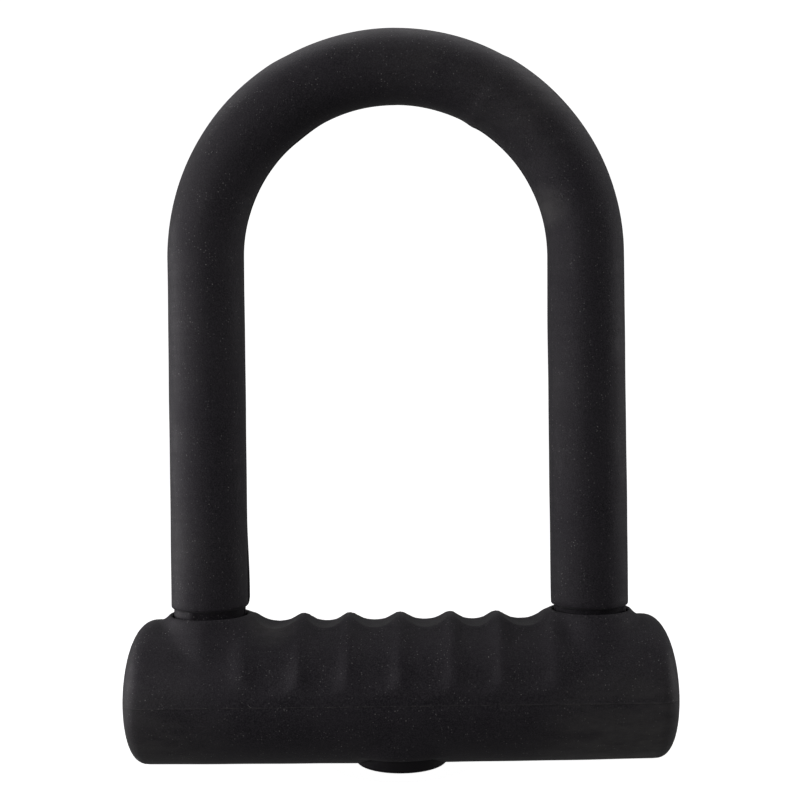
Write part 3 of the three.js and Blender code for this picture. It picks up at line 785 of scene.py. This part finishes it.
class CoverMesh:
    """A double-walled shell on one grid of columns and angles, with round holes let into it. Each
    hole takes the place of a block of the grid, and rings of points lead from its edge to the hole."""

    def __init__(self):
        self.columns = cover_columns()
        self.turns = [t if t <= math.pi else t - 2 * math.pi for t in cover_turns()]
        self.outer = []
        self.inner = []
        self.faces = []
        self.walls = []
        for column in self.columns:
            for turn in self.turns:
                self.outer.append(cover_point(column_x(column, turn), turn))
                self.inner.append(inner_point(column, turn))
        self.open = set()

    def index(self, i, j):
        return i * len(self.turns) + j % len(self.turns)

    def block(self, centre_x, reach, centre_turn, half_turn):
        """The block's corners as (first column, last column, first angle, last angle)."""
        xs = [column_x(c, centre_turn) for c in self.columns]
        inside = [i for i, x in enumerate(xs) if centre_x - reach[0] <= x <= centre_x + reach[1]]
        across = [j for j, t in enumerate(self.turns)
                  if abs(math.remainder(t - centre_turn, 2 * math.pi)) <= half_turn]
        count = len(self.turns)
        if centre_turn == 0:
            across = sorted((j if j < count / 2 else j - count) for j in across)
        return inside[0], inside[-1], across[0], across[-1]

    def let_in_hole(self, centre_x, block, top, profile):
        """profile is (distance outside the hole, drop) pairs from the surface into the hole."""
        i0, i1, j0, j1 = block
        for i in range(i0, i1):
            for j in range(j0, j1):
                self.open.add((i, j % len(self.turns)))
        loop = [(i, j0) for i in range(i0, i1)] + [(i1, j) for j in range(j0, j1)]
        loop += [(i, j1) for i in range(i1, i0, -1)] + [(i0, j) for j in range(j1, j0, -1)]
        ring = [self.index(i, j) for i, j in loop]
        hole_radius = COLLAR_BORE if top else BOSS_RADIUS + 0.3
        lip = profile[0][0]
        sign = 1 if top else -1
        border = [Vector((self.outer[v][0] - centre_x, self.outer[v][1])) for v in ring]
        inner_border = [Vector(self.inner[v][:2]) - Vector((centre_x, 0)) for v in ring]
        rings = 13
        for k in range(1, rings + 1):
            t = k / rings
            new = []
            for edge, inner_edge in zip(border, inner_border):
                way = edge.normalized()
                place = edge.lerp(way * (hole_radius + lip), 1 - (1 - t) ** 1.4)
                x, y = centre_x + place.x, place.y
                hidden = inner_edge.lerp(inner_edge.normalized() * hole_radius, t)
                hidden_z = sign * math.sqrt(max(0, CAVITY_RADIUS ** 2 - hidden.y ** 2))
                new.append(len(self.outer))
                self.outer.append((x, y, cover_height(x, y, top)))
                self.inner.append((centre_x + hidden.x, hidden.y, hidden_z))
            self.join(ring, new)
            ring = new
        self.line_hole(ring, centre_x, hole_radius, sign, profile)

    def join(self, ring, new):
        count = len(ring)
        for a in range(count):
            b = (a + 1) % count
            self.faces.append((ring[a], ring[b], new[b], new[a]))

    def line_hole(self, ring, centre_x, radius, sign, profile):
        """The rounded lip and the wall from the outer surface to the inner one."""
        rows = []
        for outside, drop in profile[1:]:
            row = []
            for v in ring:
                x, y, z = self.outer[v]
                way = Vector((x - centre_x, y)).normalized() * (radius + outside)
                row.append((centre_x + way.x, way.y, z - sign * drop))
            rows.append(row)
        self.walls.append((ring, rows))

    def build(self):
        columns, turns = len(self.columns), len(self.turns)
        for i in range(columns - 1):
            for j in range(turns):
                if (i, j) not in self.open:
                    self.faces.append((self.index(i, j), self.index(i, j + 1),
                                       self.index(i + 1, j + 1), self.index(i + 1, j)))
        points = self.outer + self.inner
        shift = len(self.outer)
        faces = list(self.faces)
        faces += [tuple(v + shift for v in reversed(face)) for face in self.faces]
        for ring, rows in self.walls:
            count = len(ring)
            levels = [ring]
            for row in rows:
                levels.append(list(range(len(points), len(points) + count)))
                points.extend(row)
            levels.append([v + shift for v in ring])
            for near, far in zip(levels, levels[1:]):
                for a in range(count):
                    b = (a + 1) % count
                    faces.append((near[a], near[b], far[b], far[a]))
        clean = []
        for face in faces:
            spots = {tuple(round(c, 5) for c in points[v]) for v in face}
            if len(spots) > 2:
                clean.append(face)
        return points, clean


def crossbar_cover():
    shell = CoverMesh()
    lip = [(0.7, 0), (0.48, 0.05), (0.26, 0.2), (0.1, 0.42), (0.02, 0.75), (0, 1.2), (0, 2.4), (0, 3.6)]
    for sign in (-1, 1):
        reach = (20.5, 14.5) if sign > 0 else (14.5, 20.5)
        shell.let_in_hole(sign * LEG_X, shell.block(sign * LEG_X, reach, 0, math.radians(60)), True, lip)
    edge = [(0.5, 0), (0.3, 0.06), (0.12, 0.2), (0, 0.5), (0, 1.2), (0, 2)]
    shell.let_in_hole(0, shell.block(0, (17, 17), math.pi, math.radians(58)), False, edge)
    points, faces = shell.build()
    piece = build("silicone_cover", points, faces, finishes["black_silicone"], 60)
    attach(piece, "crossbar")
    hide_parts("crossbar_cover")
    return piece


# ---------------------------------------------------------------- key boss and seals

def key_boss():
    material = finishes["boss_plastic"]
    top = boss_high.z - AXIS_Z
    outline = [(0.01, BOSS_FACE_Z + 0.05), (BOSS_RADIUS - 2.6, BOSS_FACE_Z + 0.02)]
    for i in range(9):
        turn = i / 8 * math.pi / 2
        outline.append((BOSS_RADIUS - 1 + math.sin(turn), BOSS_FACE_Z + 1 - math.cos(turn)))
    outline += [(BOSS_RADIUS, -14), (BOSS_RADIUS, top), (0.01, top)]
    sides = 96
    piece = turned("boss", outline, sides, 0, material)
    front = barrel_low.z - AXIS_Z
    back = BOSS_FACE_Z + 1.3
    saddle_points = []
    for x in (-BOSS_RADIUS - 1, BOSS_RADIUS + 1):
        for j in range(sides):
            angle = 2 * math.pi * j / sides
            saddle_points.append((x, CAVITY_RADIUS * math.cos(angle), CAVITY_RADIUS * math.sin(angle)))
    saddle_faces = ring_faces(2, sides)
    saddle_faces += [tuple(range(sides)), tuple(reversed(range(sides, 2 * sides)))]
    saddle = build("saddle", saddle_points, saddle_faces, material)
    bore = turned("bore", [(0.01, front - 0.3), (9.8, front - 0.3), (9.8, 0), (0.01, 0)], 64, 0, material)
    pocket = bar_box("pocket", (-3.6, 9.6), (-4.6, 4.6), (back, front), material)
    window = bar_box("window", (-2.6, 9.4), (-2.5, 2.5), (BOSS_FACE_Z - 1, back + 1), material)
    carve(piece, saddle, bore, pocket, window)
    soften(piece, 0.22, 50)
    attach(piece, "crossbar")
    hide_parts("key_boss")
    return piece


def dust_shutter():
    """A small plate with a raised grip that a thumbnail can push."""
    material = finishes["boss_plastic"]
    front, back = shutter_low.z - AXIS_Z, shutter_high.z - AXIS_Z
    x, y = (shutter_low.x, shutter_high.x), (shutter_low.y, shutter_high.y)
    plate = bar_box("shutter_plate", x, y, (back - 1.2, back), material)
    soften(plate, 0.2)
    grip = bar_box("shutter_grip", (1.8, 3.0), (-1.8, 1.8), (front, back - 1.1), material)
    soften(grip, 0.2)
    combine("UNION", plate, grip)
    plate.data.set_sharp_from_angle(angle=math.radians(35))
    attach(plate, "shutter")
    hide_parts("dust_shutter")
    return plate


def leg_seal(side, sign):
    low, high = seal_low.z - AXIS_Z, seal_high.z - AXIS_Z
    inner, outer = BAR_RADIUS + 0.35, seal_high.x - LEG_X
    corners = [(inner, low + 0.4), (outer, low), (outer, high), (inner + 0.9, high), (inner, high - 0.9)]
    outline = rounded(corners, 0.25)
    piece = turned(f"seal_{side}", outline, 64, sign * LEG_X, finishes["seal_rubber"])
    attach(piece, "crossbar")
    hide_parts(f"leg_seal_{side}")
    return piece


def finish_cad_nodes():
    """The pieces inside keep their CAD shapes and take their slot's finish."""
    slots = {entry["node"]: entry["material_slot"] for entry in frame["record"]["subparts"]}
    for node, slot in slots.items():
        piece = frame["nodes"][node]
        piece.data.materials.clear()
        piece.data.materials.append(finishes[slot])


finish_cad_nodes()
shackle_sleeve()
steel_shackle()
crossbar_cover()
key_boss()
dust_shutter()
leg_seal("left", -1)
leg_seal("right", 1)


# ---------------------------------------------------------------- studio

def studio():
    """A white floor that curves up into a wall all round the lock, and glows like a light table, so
    the lock stands against even white. Only the camera sees it: the lights alone shape the lock."""
    floor_radius, bend_radius, wall_top = 1.2, 1, 5
    profile = [(0.02, 0), (floor_radius, 0)]
    for i in range(1, 13):
        angle = math.pi / 2 * i / 12
        profile.append((floor_radius + bend_radius * math.sin(angle), bend_radius * (1 - math.cos(angle))))
    profile.append((floor_radius + bend_radius, wall_top))
    sides = 64
    points = [(0, 0, 0)]
    for radius, z in profile:
        for j in range(sides):
            angle = 2 * math.pi * j / sides
            points.append((radius * math.cos(angle), radius * math.sin(angle), z))
    faces = [tuple(v + 1 for v in face) for face in ring_faces(len(profile), sides)]
    faces += [(0, 1 + j, 1 + (j + 1) % sides) for j in range(sides)]
    mesh = bpy.data.meshes.new("sweep")
    mesh.from_pydata(points, [], faces)
    mesh.shade_smooth()
    n = Nodes("studio_white")
    paper = n.mix(n.noise(40, 2), (0.86, 0.86, 0.86), (0.88, 0.88, 0.88))
    mesh.materials.append(n.finish(Base_Color=paper, Roughness=0.9, Emission_Color=(1, 1, 1, 1),
                                   Emission_Strength=1))
    sweep = bpy.data.objects.new("sweep", mesh)
    sweep.visible_diffuse = False
    sweep.visible_glossy = False
    bpy.context.scene.collection.objects.link(sweep)


def soft_light(name, place, size, power):
    """An area light that faces the middle of the lock. size is its width and height."""
    data = bpy.data.lights.new(name, "AREA")
    data.shape = "RECTANGLE"
    data.size, data.size_y = size
    data.energy = power
    lamp = bpy.data.objects.new(name, data)
    lamp.location = place
    lamp.rotation_euler = (Vector((0, 0, 0.1)) - lamp.location).to_track_quat("-Z", "Y").to_euler()
    lamp.visible_camera = False
    bpy.context.scene.collection.objects.link(lamp)


def lights():
    soft_light("left", (-0.38, -0.14, 0.1), (0.2, 0.25), 0.19)
    soft_light("front_left", (-0.3, -0.35, 0.2), (0.2, 0.2), 0.33)
    soft_light("right_high", (0.38, -0.14, 0.45), (0.2, 0.2), 0.11)
    soft_light("left_far", (-0.89, 0.16, 0.1), (0.45, 0.45), 2.1)
    soft_light("right_far", (0.89, 0.16, 0.1), (0.45, 0.45), 0.92)
    soft_light("crown_top", (0, 0.02, 0.29), (0.2, 0.1), 0.06)
    soft_light("crown_left", (-0.2, 0.05, 0.36), (0.2, 0.15), 0.085)
    soft_light("crown_right", (0.2, 0.05, 0.34), (0.2, 0.15), 0.07)


def surroundings():
    """An even, dim room, brightest at the lock's own level."""
    world = bpy.data.worlds.new("studio")
    world.use_nodes = True
    sky = world.node_tree.nodes["Background"]
    sky.inputs["Color"].default_value = (1, 1, 1, 1)
    direction = world.node_tree.nodes.new("ShaderNodeTexCoord")
    upward = world.node_tree.nodes.new("ShaderNodeSeparateXYZ")
    off_level = world.node_tree.nodes.new("ShaderNodeMath")
    off_level.operation = "ABSOLUTE"
    falling = world.node_tree.nodes.new("ShaderNodeMapRange")
    level_strength, upright_strength = 0.142, 0.075
    for name, value in {"From Min": 0, "From Max": 1, "To Min": level_strength,
                        "To Max": upright_strength}.items():
        falling.inputs[name].default_value = value
    world.node_tree.links.new(direction.outputs["Generated"], upward.inputs["Vector"])
    world.node_tree.links.new(upward.outputs["Z"], off_level.inputs[0])
    world.node_tree.links.new(off_level.outputs["Value"], falling.inputs["Value"])
    world.node_tree.links.new(falling.outputs["Result"], sky.inputs["Strength"])
    bpy.context.scene.world = world


def camera():
    """Square on to the loop, a hand's breadth above the crossbar, turned a hair clockwise."""
    distance, height = 330, 79
    data = bpy.data.cameras.new("camera")
    data.sensor_width = 36
    data.lens = 54.2
    view = bpy.data.objects.new("camera", data)
    view.location = (0.7 * MM, -distance * MM, (height + AXIS_Z) * MM)
    view.rotation_euler = (math.pi / 2, math.radians(0.7), 0)
    bpy.context.scene.collection.objects.link(view)
    bpy.context.scene.camera = view


studio()
lights()
surroundings()
camera()
bpy.context.scene.view_settings.view_transform = "Standard"
